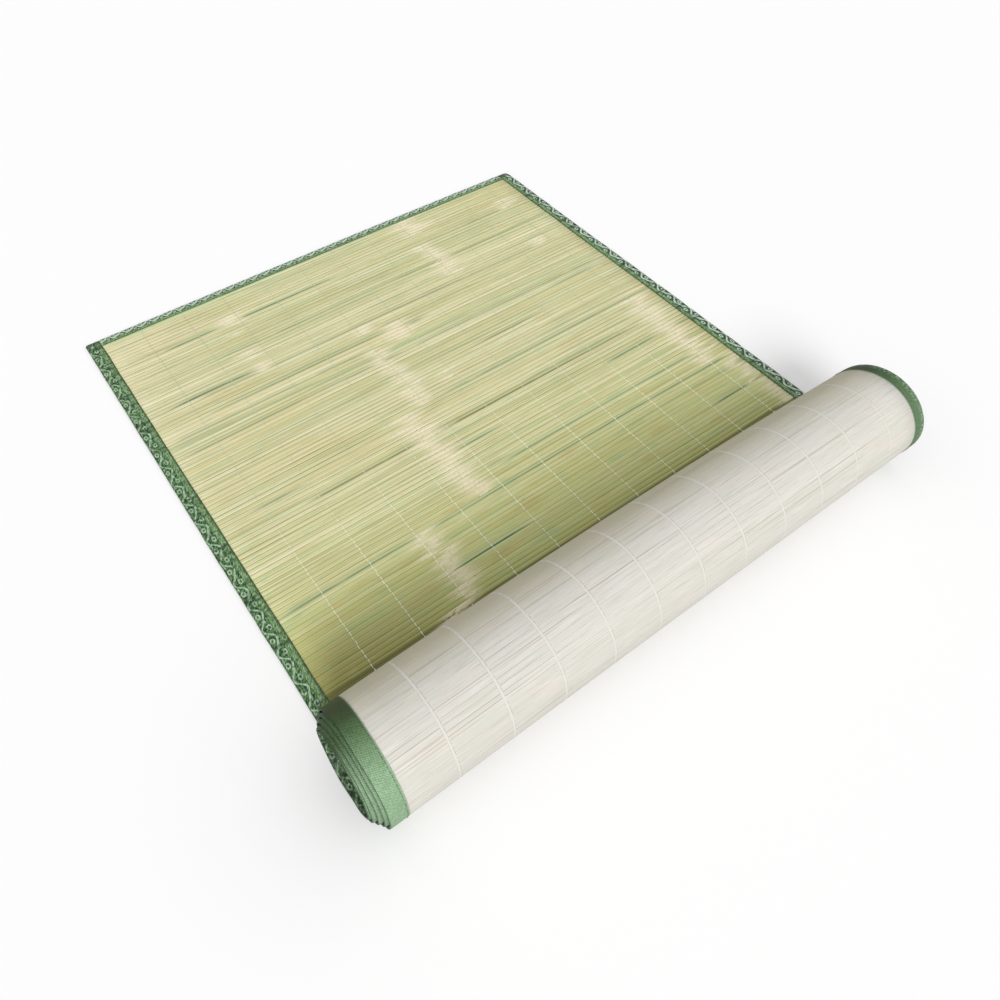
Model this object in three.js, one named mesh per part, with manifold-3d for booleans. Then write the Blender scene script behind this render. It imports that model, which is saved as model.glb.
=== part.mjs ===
// A bamboo sleeping mat, half unrolled: the far part lies flat, the rest is wound into a hollow roll.
// Millimetres, +Z up. X runs along the slats, from the left edge of the mat to the right one, and Y
// runs from the roll to the far end. The face of the mat is up, so the roll shows the back of the mat.
import * as THREE from 'three';
import { mergeVertices } from 'three/addons/utils/BufferGeometryUtils.js';
import Module from 'manifold-3d';

const wasm = await Module();
wasm.setup();

// The mat as it was cut and bound
const MAT = { width: 600, length: 1800 };
const PANEL_THICKNESS = 1.2;
const BINDING = { cloth: 0.3, clearance: 0.3, leftWidth: 16, rightWidth: 15, endWidth: 10.5 };
const BOUND_THICKNESS = PANEL_THICKNESS + 2 * (BINDING.clearance + BINDING.cloth);

// How it lies: the far end is this far from the roll's axis at the left edge, and the rest is wound up
const FLAT_REACH = 574.5;
const FLAT_STEPS = 12;
const ROLL = { outerRadius: 48.3, turns: 4.875, facetsPerTurn: 32 };

// The roll is wound a little askew, so its inner turns stand out at the left end
const ASKEW = [
  { turn: 0.0, slip: 0.0 },
  { turn: 0.4, slip: 0.9 },
  { turn: 1.4, slip: 3.2 },
  { turn: 2.4, slip: 6.0 },
  { turn: 3.4, slip: 8.6 },
  { turn: 3.9, slip: 9.6 },
  { turn: 5.0, slip: 9.6 },
];

// The slats are strung loosely along the right edge, so the flat part stands out there: outwards to
// the right, and ahead towards the far end. Distances run along the mat from its far end.
const RIGHT_EDGE = [
  { along: 0, outwards: 1.5, ahead: 7.0 },
  { along: 150, outwards: 3.2, ahead: 5.2 },
  { along: 300, outwards: 6.4, ahead: 3.4 },
  { along: 500, outwards: 8.3, ahead: 1.0 },
  { along: 580, outwards: 7.0, ahead: 0.0 },
  { along: 680, outwards: 1.5, ahead: 0.0 },
  { along: 780, outwards: 0.0, ahead: 0.0 },
  { along: MAT.length, outwards: 0.0, ahead: 0.0 },
];

const COLOURS = { bamboo: 0xb9b57a, bindingCloth: 0x3f6b4c };

// ---- the route of the sheet, seen from the end ----------------------------------------------------

// A value from a table, between the two rows that lie around a place
function lookUp(table, placeColumn, place, valueColumn) {
  const found = table.findIndex((row) => row[placeColumn] >= place);
  const high = found < 0 ? table.length - 1 : Math.max(found, 1);
  const [a, b] = [table[high - 1], table[high]];
  const share = Math.min(Math.max((place - a[placeColumn]) / (b[placeColumn] - a[placeColumn]), 0), 1);
  return a[valueColumn] + share * (b[valueColumn] - a[valueColumn]);
}

const halfFacet = Math.PI / ROLL.facetsPerTurn;
const facetCount = Math.round(ROLL.turns * ROLL.facetsPerTurn);
const outerMiddleRadius = ROLL.outerRadius - BOUND_THICKNESS / 2;
const axisHeight = outerMiddleRadius * Math.cos(halfFacet) + BOUND_THICKNESS / 2;
const flatLength = FLAT_REACH + outerMiddleRadius * Math.sin(halfFacet);

// The turns lie as far apart as the length that is wound up asks for
const meanRadius = (MAT.length - flatLength) / (2 * Math.sin(halfFacet) * facetCount);
const meanTurn = (facetCount + 1) / 2 / ROLL.facetsPerTurn;
const turnPitch = (outerMiddleRadius - meanRadius) / meanTurn;

// A station is a place on the middle of the sheet, with its distance from the far end, the direction
// towards the face of the mat, its slip to the left, and how its right end stands out
function station(along, y, z, up, slip) {
  const outwards = lookUp(RIGHT_EDGE, 'along', along, 'outwards');
  const ahead = lookUp(RIGHT_EDGE, 'along', along, 'ahead');
  return { along, y, z, up, slip, outwards, ahead };
}

// Stations from the far end to the end inside the roll. The first facet of the roll lies on the floor.
// Where two facets meet the offset is a little longer, so that the sheet keeps its full thickness.
function sheetStations() {
  const stations = [];
  for (let step = 0; step < FLAT_STEPS; step++) {
    const along = (flatLength * step) / FLAT_STEPS;
    stations.push(station(along, FLAT_REACH - along, BOUND_THICKNESS / 2, [0, 1], 0));
  }
  const miter = 1 / Math.cos(halfFacet);
  let along = flatLength;
  for (let facet = 0; facet <= facetCount; facet++) {
    const turn = (facet + 0.5) / ROLL.facetsPerTurn;
    const angle = 2 * Math.PI * turn;
    const radius = outerMiddleRadius - (turnPitch * facet) / ROLL.facetsPerTurn;
    const y = -radius * Math.sin(angle);
    const z = axisHeight - radius * Math.cos(angle);
    const before = stations.at(-1);
    along = facet === 0 ? along : before.along + Math.hypot(y - before.y, z - before.z);
    const up = [miter * Math.sin(angle), miter * Math.cos(angle)];
    stations.push(station(along, y, z, up, lookUp(ASKEW, 'turn', turn, 'slip')));
  }
  return stations;
}

const STATIONS = sheetStations();
const SHEET_LENGTH = STATIONS.at(-1).along;

// The station at any distance from the far end
function stationAt(along) {
  const after = STATIONS.findIndex((row) => row.along > along);
  const high = after < 0 ? STATIONS.length - 1 : Math.max(after, 1);
  const [a, b] = [STATIONS[high - 1], STATIONS[high]];
  const share = (along - a.along) / (b.along - a.along);
  const mix = (from, to) => from + share * (to - from);
  const up = [mix(a.up[0], b.up[0]), mix(a.up[1], b.up[1])];
  return station(along, mix(a.y, b.y), mix(a.z, b.z), up, mix(a.slip, b.slip));
}

// ---- strips that follow the route -----------------------------------------------------------------

// A strip between two lines across the mat and two distances along it, as thick as asked for
function strip({ left, right, start, end, thickness }) {
  const between = STATIONS.filter((row) => row.along > start && row.along < end);
  const rows = [stationAt(start), ...between, stationAt(end)];
  const steps = rows.length - 1;
  const geometry = new THREE.BoxGeometry(right - left, thickness, steps, 1, 1, steps);
  const position = geometry.attributes.position;
  for (let i = 0; i < position.count; i++) {
    const row = rows[Math.round(position.getZ(i) + steps / 2)];
    const offset = position.getY(i);
    const across = position.getX(i) + (left + right) / 2;
    const share = across / MAT.width;
    const x = across - row.slip + share * row.outwards;
    const y = row.y + offset * row.up[0] + share * row.ahead;
    position.setXYZ(i, x, y, row.z + offset * row.up[1]);
  }
  return geometry;
}

function toManifold(geometry) {
  const bare = geometry.clone();
  bare.deleteAttribute('normal');
  bare.deleteAttribute('uv');
  const merged = mergeVertices(bare, 1e-4);
  return new wasm.Manifold(
    new wasm.Mesh({
      numProp: 3,
      vertProperties: merged.attributes.position.array,
      triVerts: Uint32Array.from(merged.index.array),
    }),
  );
}

function toGeometry(manifold) {
  const mesh = manifold.getMesh();
  const geometry = new THREE.BufferGeometry();
  geometry.setAttribute('position', new THREE.BufferAttribute(mesh.vertProperties, 3));
  geometry.setIndex(new THREE.BufferAttribute(mesh.triVerts, 1));
  return geometry;
}

// A binding folded over an edge: a strip of the full thickness with the pocket for the panel cut out
function foldedBinding(outline, pocket) {
  const outer = toManifold(strip({ ...outline, thickness: BOUND_THICKNESS }));
  const hollow = toManifold(strip({ ...pocket, thickness: PANEL_THICKNESS + 2 * BINDING.clearance }));
  return toGeometry(outer.subtract(hollow));
}

// ---- the pieces ------------------------------------------------------------------------------------

const { cloth, clearance, leftWidth, rightWidth, endWidth } = BINDING;
const inset = cloth + clearance;
const rightSeam = MAT.width - rightWidth;
const openSide = 1;
const wholeLength = { start: 0, end: SHEET_LENGTH };
const insideLength = { start: cloth, end: SHEET_LENGTH - cloth };
const betweenSides = { left: leftWidth + clearance, right: rightSeam - clearance };
const pastTheSides = { left: leftWidth, right: rightSeam };

const panelGeometry = strip({
  left: inset,
  right: MAT.width - inset,
  start: inset,
  end: SHEET_LENGTH - inset,
  thickness: PANEL_THICKNESS,
});

const leftBindingGeometry = foldedBinding(
  { left: 0, right: leftWidth, ...wholeLength },
  { left: cloth, right: leftWidth + openSide, ...insideLength },
);

const rightBindingGeometry = foldedBinding(
  { left: rightSeam, right: MAT.width, ...wholeLength },
  { left: rightSeam - openSide, right: MAT.width - cloth, ...insideLength },
);

const farBindingGeometry = foldedBinding(
  { ...betweenSides, start: 0, end: endWidth },
  { ...pastTheSides, start: cloth, end: endWidth + openSide },
);

const rolledBindingGeometry = foldedBinding(
  { ...betweenSides, start: SHEET_LENGTH - endWidth, end: SHEET_LENGTH },
  { ...pastTheSides, start: SHEET_LENGTH - endWidth - openSide, end: SHEET_LENGTH - cloth },
);

const bamboo = new THREE.MeshStandardMaterial({ color: COLOURS.bamboo, roughness: 0.6, metalness: 0 });
const bindingCloth = new THREE.MeshStandardMaterial({
  color: COLOURS.bindingCloth,
  roughness: 0.7,
  metalness: 0,
});

const PIECES = [
  { name: 'bamboo_panel', geometry: panelGeometry, material: bamboo },
  { name: 'left_binding', geometry: leftBindingGeometry, material: bindingCloth },
  { name: 'right_binding', geometry: rightBindingGeometry, material: bindingCloth },
  { name: 'far_end_binding', geometry: farBindingGeometry, material: bindingCloth },
  { name: 'rolled_end_binding', geometry: rolledBindingGeometry, material: bindingCloth },
];

const mat = new THREE.Group();
for (const { name, geometry, material } of PIECES) {
  const mesh = new THREE.Mesh(geometry, material);
  mesh.name = name;
  mat.add(mesh);
}

// The origin is on the floor, under the middle of the mat's box
const box = new THREE.Box3().setFromObject(mat);
const middle = box.getCenter(new THREE.Vector3());
mat.position.set(-middle.x, -middle.y, -box.min.z);

export default mat;
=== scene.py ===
# %% [markdown]
# # A bamboo sleeping mat, half unrolled
#
# The real mat is about 370 split bamboo slats, strung side by side on eleven rows of thread, with a
# strip of woven cloth folded over each edge and sewn down. Here its far part lies flat and the rest
# is wound into a roll. The lesson makes the slats, the bindings, the threads and the seams in turn.
#
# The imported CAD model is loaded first. It is the fixed frame that everything below is made to fit.

import math

import bpy
import mathutils
import numpy as np
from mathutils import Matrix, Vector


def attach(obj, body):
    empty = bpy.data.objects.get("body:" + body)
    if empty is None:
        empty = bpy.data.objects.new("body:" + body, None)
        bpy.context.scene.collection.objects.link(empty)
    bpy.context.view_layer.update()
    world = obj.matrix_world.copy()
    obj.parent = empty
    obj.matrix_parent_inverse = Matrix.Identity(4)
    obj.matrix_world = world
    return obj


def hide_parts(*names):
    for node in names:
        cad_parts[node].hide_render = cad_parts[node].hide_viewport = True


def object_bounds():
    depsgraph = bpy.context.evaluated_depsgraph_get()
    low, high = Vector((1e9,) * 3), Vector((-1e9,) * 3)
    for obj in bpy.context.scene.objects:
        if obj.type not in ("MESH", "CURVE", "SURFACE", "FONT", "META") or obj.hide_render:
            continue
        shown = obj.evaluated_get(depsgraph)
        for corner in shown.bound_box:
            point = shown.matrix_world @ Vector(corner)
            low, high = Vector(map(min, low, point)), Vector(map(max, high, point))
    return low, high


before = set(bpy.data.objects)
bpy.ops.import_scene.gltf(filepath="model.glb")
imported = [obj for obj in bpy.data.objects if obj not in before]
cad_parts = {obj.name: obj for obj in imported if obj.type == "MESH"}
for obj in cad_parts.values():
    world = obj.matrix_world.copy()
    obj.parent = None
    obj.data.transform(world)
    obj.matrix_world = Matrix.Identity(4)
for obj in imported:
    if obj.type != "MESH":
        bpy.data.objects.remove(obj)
cad_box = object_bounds()
low_corner, high_corner = cad_box
print("CAD box in mm:", [round(1000 * (b - a)) for a, b in zip(low_corner, high_corner)])

# %% [markdown]
# ## The sizes of the mat
#
# These are the sizes that a maker would write on the work ticket, in metres. The CAD solids were
# made from the same ones, so the slats and the cloth land inside the solids that they stand for.

# %% Sizes
MM = 0.001
WIDTH = 600 * MM
LENGTH = 1800 * MM
PANEL_THICKNESS = 1.2 * MM
BOUND_THICKNESS = 2.4 * MM
BINDING_WIDTH = {"left": 16 * MM, "right": 15 * MM, "end": 10.5 * MM}
FLAT_REACH = 574.5 * MM
ROLL_RADIUS = 48.3 * MM
ROLL_TURNS = 4.875

# How the roll is askew, and how the right edge of the flat part stands out, as in the CAD source
ASKEW = {"turn": [0, 0.4, 1.4, 2.4, 3.4, 3.9, 5.0], "slip": [0, 0.9, 3.2, 6.0, 8.6, 9.6, 9.6]}
RIGHT_EDGE = {
    "along": [0, 150, 300, 500, 580, 680, 780],
    "outwards": [1.5, 3.2, 6.4, 8.3, 7.0, 1.5, 0.0],
    "ahead": [7.0, 5.2, 3.4, 1.0, 0.0, 0.0, 0.0],
}
# The roll is a little thicker in the middle, where only the slats hold it, than at its bound ends.
# The swell is full after this part of a turn, and its power makes it broad and not peaked.
ROLL_SWELL = 1.9 * MM
SWELL_AFTER = 0.25
SWELL_POWER = 0.8

# %% [markdown]
# ## The route of the sheet
#
# Seen from the end, the sheet runs flat along the floor and then winds up. A wound sheet lies on the
# turn below it, so each turn is nearly a circle and drops inwards by one thickness in its last part,
# where it comes down behind the roll. The length wound up is added up in small steps of the angle.
# The helper on_mat turns a place on the flat mat into a place in the room: how far across, how far
# along from the far end, and how high above the middle of the sheet. It shapes every piece.

# %% The route
middle_radius = ROLL_RADIUS - BOUND_THICKNESS / 2
wound = LENGTH - FLAT_REACH
DROP_START = 0.6


def turns_dropped(turns):
    """How many sheets further in the sheet lies after so many turns."""
    part = np.clip((turns % 1 - DROP_START) / (1 - DROP_START), 0, 1)
    return np.floor(turns) + part * part * (3 - 2 * part)


turn_table = np.linspace(0, ROLL_TURNS + 0.5, 5000)
in_the_roll = turn_table <= ROLL_TURNS
mean_radius = wound / (2 * math.pi * ROLL_TURNS)
turn_pitch = (middle_radius - mean_radius) / turns_dropped(turn_table[in_the_roll]).mean()
radius_table = middle_radius - turn_pitch * turns_dropped(turn_table)
wound_table = np.cumsum(radius_table) * 2 * math.pi * turn_table[1]

left_edge_x = low_corner[0] + np.interp(ROLL_TURNS, ASKEW["turn"], ASKEW["slip"]) * MM
roll_axis_y = high_corner[1] - FLAT_REACH - RIGHT_EDGE["ahead"][0] * MM
floor_z = low_corner[2]


def wound_turns(along):
    """How many turns the sheet has made at a distance from its far end."""
    return np.interp(np.asarray(along, float) - FLAT_REACH, wound_table, turn_table, left=0.0)


def on_mat(across, along, height):
    """The places in the room of points on the mat: across, along and height above its middle."""
    across, along, height = np.broadcast_arrays(across, along, height)
    turns = wound_turns(along)
    angle = 2 * math.pi * turns
    share = across / WIDTH
    broad = np.sin(np.clip(share, 0, 1) * math.pi) ** SWELL_POWER
    swell = ROLL_SWELL * broad * np.clip(turns / SWELL_AFTER, 0, 1)
    radius = middle_radius - turn_pitch * turns_dropped(turns) + swell - height
    flat = np.maximum(FLAT_REACH - along, 0)
    slip = np.interp(turns, ASKEW["turn"], ASKEW["slip"]) * MM
    outwards = np.interp(along / MM, RIGHT_EDGE["along"], RIGHT_EDGE["outwards"]) * MM
    ahead = np.interp(along / MM, RIGHT_EDGE["along"], RIGHT_EDGE["ahead"]) * MM
    bow = np.sin(np.clip(share, 0, 1) * math.pi / 2)
    x = left_edge_x + across - slip + share * outwards
    y = roll_axis_y + flat - radius * np.sin(angle) + bow * ahead + swell
    z = floor_z + ROLL_RADIUS + swell - radius * np.cos(angle)
    return np.stack([x, y, z], -1)


print("turns are", round(turn_pitch / MM, 2), "mm apart; core radius is",
      round((middle_radius - turn_pitch * turns_dropped(ROLL_TURNS)) / MM, 1), "mm")

# %% [markdown]
# ## The camera
#
# A lens of about 30 mm stands some 85 cm off, to the left of the mat and high, and looks across the
# roll towards the far end. It aims at a point on the floor, measured from the left edge and the
# roll. The shift frames the mat in the upper left, and the tilt is that of a camera held by hand.

# %% Camera
AIM_FROM_LEFT, AIM_FROM_ROLL = 0.2475, 0.2423
CAMERA_AZIMUTH, CAMERA_ELEVATION, CAMERA_TILT = (math.radians(a) for a in (-36.5, 50.61, 1.49))
CAMERA_DISTANCE = 0.8358
LENS_LENGTH = 29.535
FRAME_SHIFT = (0.06, -0.06)


def direction(azimuth, elevation):
    """The unit vector from the mat towards a camera or lamp: azimuth 0 is in front of the roll."""
    return np.array([
        math.sin(azimuth) * math.cos(elevation),
        -math.cos(azimuth) * math.cos(elevation),
        math.sin(elevation),
    ])


def add_object(name, data):
    """A new object in the scene, made of the data given."""
    made = bpy.data.objects.new(name, data)
    bpy.context.scene.collection.objects.link(made)
    return made


lens = bpy.data.cameras.new("camera")
lens.lens = LENS_LENGTH
lens.shift_x, lens.shift_y = FRAME_SHIFT
lens.clip_start = 10 * MM
camera = add_object("camera", lens)
aim = np.array([left_edge_x + AIM_FROM_LEFT, roll_axis_y + AIM_FROM_ROLL, floor_z])
camera.location = aim + CAMERA_DISTANCE * direction(CAMERA_AZIMUTH, CAMERA_ELEVATION)
camera.rotation_euler = (math.pi / 2 - CAMERA_ELEVATION, 0, CAMERA_AZIMUTH)
bpy.context.view_layer.update()
camera.matrix_world = camera.matrix_world @ mathutils.Matrix.Rotation(CAMERA_TILT, 4, "Z")
bpy.context.scene.camera = camera
print("camera at", [round(c, 3) for c in camera.location])

# %% [markdown]
# ## Meshes from rings
#
# A slat, a thread and a folded cloth edge are the same thing to a modeller: a closed ring of points,
# carried along a line. There are thousands, so all their points are worked out as one array. The
# mesh keeps named marks on its points, such as where on the flat mat each lies, and the finishes
# read those. So a grain can follow a slat round the roll.

# %% Mesh helpers
rng = np.random.default_rng(18)


def make_piece(name, rings, material, marks):
    """One mesh from an array of rings: tubes x stations x ring points x 3, with marks on the points."""
    tubes, stations, ring = rings.shape[:3]
    station, step = np.meshgrid(np.arange(stations - 1), np.arange(ring), indexing="ij")
    here = station * ring + step
    beside = station * ring + (step + 1) % ring
    sides = np.stack([here, beside, beside + ring, here + ring], -1).reshape(-1, 4)
    starts = np.arange(tubes)[:, None, None] * stations * ring
    sides = (sides[None] + starts).reshape(-1, 4)
    first_cap = (np.arange(ring)[::-1][None] + starts[:, 0]).tolist()
    last_cap = (np.arange(ring)[None] + (stations - 1) * ring + starts[:, 0]).tolist()
    mesh = bpy.data.meshes.new(name)
    mesh.from_pydata(rings.reshape(-1, 3).tolist(), [], sides.tolist() + first_cap + last_cap)
    mesh.polygons.foreach_set("use_smooth", [True] * len(sides) + [False] * (2 * tubes))
    if signed_volume(mesh) < 0:
        mesh.flip_normals()
    for mark, values in marks.items():
        kept = mesh.attributes.new(mark, "FLOAT_VECTOR", "POINT")
        full = np.broadcast_to(values, rings.shape).astype(np.float32)
        kept.data.foreach_set("vector", full.ravel())
    mesh.materials.append(material)
    piece = add_object(name, mesh)
    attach(piece, "root")
    mesh.calc_loop_triangles()
    print(name, "has", len(mesh.loop_triangles), "triangles")
    return piece


def together(*values):
    """Values side by side as one mark, each spread over the shape that they share."""
    return np.stack(np.broadcast_arrays(*values), -1)


def signed_volume(mesh):
    """The volume inside a closed mesh, below zero if its faces point inwards."""
    mesh.calc_loop_triangles()
    corners = np.empty(len(mesh.loop_triangles) * 3, int)
    mesh.loop_triangles.foreach_get("vertices", corners)
    points = np.empty(len(mesh.vertices) * 3)
    mesh.vertices.foreach_get("co", points)
    a, b, c = np.moveaxis(points.reshape(-1, 3)[corners.reshape(-1, 3)], 1, 0)
    return float((a * np.cross(b, c)).sum() / 6)


# %% [markdown]
# ## A short way to write materials
#
# The finishes are arithmetic on those marks: how far from a knot, how near the edge of the cloth.
# The helper writes the Math nodes from plain sums, so that a finish reads as a formula.

# %% Material helper
class Formula:
    """Nodes written as sums, in the node tree of a material or of the world."""

    def __init__(self, owner):
        owner.use_nodes = True
        self.nodes = owner.node_tree.nodes
        self.links = owner.node_tree.links

    def put(self, socket, value):
        """A link if the value comes from a node, a colour if it is three numbers, or plain."""
        if isinstance(value, bpy.types.NodeSocket):
            self.links.new(value, socket)
        elif isinstance(value, tuple):
            socket.default_value = colour(*value)
        else:
            socket.default_value = value

    def sum(self, operation, a, b=0.0, c=0.0):
        """One Math node, called by the name of its operation."""
        node = self.nodes.new("ShaderNodeMath")
        node.operation = operation
        for socket, value in zip(node.inputs, (a, b, c)):
            self.put(socket, value)
        return node.outputs[0]

    def times(self, a, b):
        return self.sum("MULTIPLY", a, b)

    def line(self, value, slope, start):
        """A straight line: the value times the slope, plus the start."""
        return self.sum("MULTIPLY_ADD", value, slope, start)

    def apart(self, a, b):
        """How far two values are apart."""
        return self.sum("ABSOLUTE", self.sum("SUBTRACT", a, b))

    def step(self, value, start, end, low=0.0, high=1.0):
        """Low before the start, high after the end, and a smooth rise between them."""
        node = self.nodes.new("ShaderNodeMapRange")
        node.interpolation_type = "SMOOTHSTEP"
        for socket, number in zip(node.inputs, (value, start, end, low, high)):
            self.put(socket, number)
        return node.outputs[0]

    def mark(self, name):
        """The three values of a mark on the points."""
        node = self.nodes.new("ShaderNodeAttribute")
        node.attribute_name = name
        split = self.nodes.new("ShaderNodeSeparateXYZ")
        self.links.new(node.outputs["Vector"], split.inputs[0])
        return tuple(split.outputs)

    def place(self, x, y, z=0.0):
        node = self.nodes.new("ShaderNodeCombineXYZ")
        for socket, value in zip(node.inputs, (x, y, z)):
            self.put(socket, value)
        return node.outputs[0]

    def noise(self, place, scale=1.0, detail=2.0, roughness=0.5):
        """Soft random values between 0 and 1, mostly near the middle."""
        node = self.nodes.new("ShaderNodeTexNoise")
        self.put(node.inputs["Vector"], place)
        for socket, value in (("Scale", scale), ("Detail", detail), ("Roughness", roughness)):
            node.inputs[socket].default_value = value
        return node.outputs["Fac"]

    def mix(self, share, first, second):
        """The first colour where the share is 0, and the second where it is 1."""
        node = self.nodes.new("ShaderNodeMix")
        node.data_type = "RGBA"
        self.put(node.inputs["Factor"], share)
        self.put(node.inputs[6], first)
        self.put(node.inputs[7], second)
        return node.outputs[2]

    def layers(self, base, washes):
        """Washes laid over a base in turn: where each lies, how strong it is, and its colour."""
        for where, strength, wash in washes:
            base = self.mix(self.times(where, strength), base, wash)
        return base


class Finish(Formula):
    """A material, and the formulas that lead to its shader."""

    def __init__(self, name):
        self.material = bpy.data.materials.new(name)
        super().__init__(self.material)
        self.shader = self.nodes["Principled BSDF"]

    def surface(self, values):
        """Values for the shader's own sockets, by their names."""
        for name, value in values.items():
            self.put(self.shader.inputs[name], value)

    def bump(self, height, distance, strength):
        node = self.nodes.new("ShaderNodeBump")
        node.inputs["Strength"].default_value = strength
        node.inputs["Distance"].default_value = distance
        self.put(node.inputs["Height"], height)
        self.put(self.shader.inputs["Normal"], node.outputs["Normal"])


def colour(red, green, blue):
    """A colour as a painter reads it off a chart, 0 to 255, in the linear values that Blender wants."""
    shares = (red / 255, green / 255, blue / 255)
    return (*(s / 12.92 if s <= 0.04045 else ((s + 0.055) / 1.055) ** 2.4 for s in shares), 1.0)


# %% [markdown]
# ## The bamboo
#
# A culm is split into slats, and one face of each keeps the green skin while the other is pale wood.
# The marks of a slat are a random tone, where its knots are, and where its stripe starts and ends.
# The fibres are noise stretched along the slat, shifted by chance so that no two slats match.

# %% Fibres
class SlatFinish(Finish):
    """A finish that knows the marks of a slat, and the fibres that its skin and its wood share."""

    def __init__(self, name):
        super().__init__(name)
        self.x, self.along, self.side = self.mark("lie")
        self.share, self.turned, _ = self.mark("share")
        self.tone, self.warmth, self.seed = self.mark("tone")
        self.shift = self.times(self.seed, 40.0)
        self.own_x = self.sum("ADD", self.x, self.shift)
        self.long_fibre = self.streaks(self.own_x, 3.0, 620.0, detail=2)
        self.fine_fibre = self.streaks(self.own_x, 14.0, 2300.0)

    def streaks(self, x, across_scale, along_scale, layer=0.0, detail=3):
        """Noise with its own scale across the mat and along it, and its own layer."""
        place = self.place(self.times(x, across_scale), self.times(self.along, along_scale), layer)
        return self.noise(place, detail=detail)


# %% [markdown]
# The skin is painted in layers: the tone of the slat, broad washes, patches and flecks, fibres, a
# painted highlight on one side of each slat, and painted shade at its edges beside the gaps. Slats
# beside the roll are greener and darker, the last ones darker still with painted shade, and a line of
# painted shadow lies where they go under the roll. Places are in metres, from the left edge and the
# far end.

# %% Skin
NEAR_ROLL = (0.3, 0.52)
AT_ROLL = (0.472, 0.506)
# where the painted shadow of the roll starts and ends on the slats, and how much its edge wavers
ROLL_SHADOW_STARTS, ROLL_SHADOW_ENDS = (0.497, 0.5), (0.53, 0.506)
ROLL_SHADOW_WAVER = 0.003
RIDGE_HIGHLIGHT_PLACE = -0.26


def slat_skin(f):
    green_wash = f.streaks(f.x, 3.0, 34.0, 3.0)
    tan_wash = f.streaks(f.x, 4.5, 12.0, 9.0)
    fleck = f.streaks(f.x, 55.0, 190.0, 5.0)
    patch = f.streaks(f.x, 17.0, 75.0, 12.0)
    groove = f.streaks(f.own_x, 7.0, 190.0, 4.0, detail=2)
    near_roll = f.step(f.along, *NEAR_ROLL)
    away = f.sum("SUBTRACT", 1.0, f.times(near_roll, 0.8))
    patch_strength = f.line(near_roll, 0.3, 0.2)
    far_left = f.times(f.step(f.x, 0.17, 0.02), f.step(f.along, 0.26, 0.02))
    near_left = f.times(f.step(f.x, 0.24, 0.02), f.step(f.along, 0.42, 0.49))
    beside_cloth = f.times(f.step(f.x, 0.36, 0.1), f.step(f.along, 0.019, 0.015))
    light_streak = f.times(f.step(f.long_fibre, 0.46, 0.3), 0.75)
    # a painted highlight along the side of each slat that faces the lamp
    ridge_highlight = f.step(f.apart(f.share, RIDGE_HIGHLIGHT_PLACE), 0.16, 0.04)
    # painted shade at the slat's edges, beside the gaps
    gap_shade = f.times(f.step(f.sum("ABSOLUTE", f.share), 0.38, 0.48), f.step(groove, 0.34, 0.62))
    waver = f.line(f.fine_fibre, ROLL_SHADOW_WAVER, -ROLL_SHADOW_WAVER / 2)
    beside_roll = f.sum("ADD", f.along, waver)
    roll_shadow = f.times(f.step(beside_roll, *ROLL_SHADOW_STARTS), f.step(beside_roll, *ROLL_SHADOW_ENDS))
    skin = f.mix(f.step(f.tone, 0.0, 1.0), (225, 220, 176), (210, 208, 156))
    return f.layers(skin, [
        # slats of a warmer and of a greener tone
        (f.step(f.warmth, 0.6, 1.0), 0.4, (219, 205, 152)),
        (f.step(f.warmth, 0.3, 0.0), 0.5, (191, 205, 154)),
        # broad washes, by chance and by place
        (f.step(tan_wash, 0.5, 0.7), 0.3, (208, 192, 128)),
        (f.step(green_wash, 0.52, 0.68), 0.3, (180, 198, 148)),
        (far_left, 0.45, (240, 226, 192)),
        (near_roll, 0.6, (184, 194, 100)),
        # the last slats before the roll: a greener run, also painted darker as the roll's shade
        (f.step(f.along, *AT_ROLL), 0.5, (138, 150, 62)),
        (beside_cloth, 0.6, (192, 212, 156)),
        (near_left, 0.7, (142, 138, 64)),
        # tan and green patches, then smaller flecks
        (f.step(patch, 0.56, 0.7), patch_strength, (190, 164, 92)),
        (f.step(patch, 0.44, 0.3), patch_strength, (150, 182, 128)),
        (f.step(fleck, 0.6, 0.72), 0.4, (214, 180, 116)),
        (f.step(fleck, 0.4, 0.28), 0.35, (156, 192, 150)),
        # fibres, dark and light
        (f.step(f.long_fibre, 0.52, 0.7), 0.7, (178, 174, 120)),
        (light_streak, away, (238, 235, 205)),
        (f.step(f.fine_fibre, 0.54, 0.68), 0.55, (158, 156, 102)),
        # painted highlight on the ridge, painted shade at the edges, and the painted shadow of the roll
        (f.times(ridge_highlight, away), 0.4, (240, 238, 206)),
        (f.times(gap_shade, away), 0.8, (134, 134, 84)),
        # painted shadow where the slats go under the roll
        (roll_shadow, 0.65, (84, 86, 34)),
    ])


# %% [markdown]
# Slats from one culm are laid side by side, so their knots line up in short pale bands. A knot is
# paler than the skin around it and speckled with brown, and its outline follows the fibres.

# %% Knots
KNOT_WOBBLE = 0.05


def with_knots(f, skin):
    """The skin with its knots, and where those are."""
    knot_a, knot_b, knot_width = f.mark("knots")
    wobble = f.times(f.sum("SUBTRACT", f.fine_fibre, 0.5), KNOT_WOBBLE)
    wobbly_x = f.sum("ADD", f.x, wobble)
    nearest = f.sum("MINIMUM", f.apart(wobbly_x, knot_a), f.apart(wobbly_x, knot_b))
    knot = f.step(f.sum("DIVIDE", nearest, knot_width), 1.3, 0.0)
    speck = f.streaks(f.x, 260.0, 700.0, f.shift)
    knot_colour = f.mix(f.step(speck, 0.42, 0.64), (243, 237, 210), (232, 215, 182))
    patchy = f.times(knot, f.step(speck, 0.3, 0.5))
    return f.layers(skin, [(patchy, 0.85, knot_colour)]), knot


# %% [markdown]
# A few slats carry a dark stripe where the skin was thick: a thin line with a paler halo, broken
# here and there, which stops at the knots. Most are green and a few are brown.

# %% Dark stripes
STRIPE_PLACE = 0.3
STRIPE_FADE_IN, STRIPE_FADE_OUT = 0.03, 0.04


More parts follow.
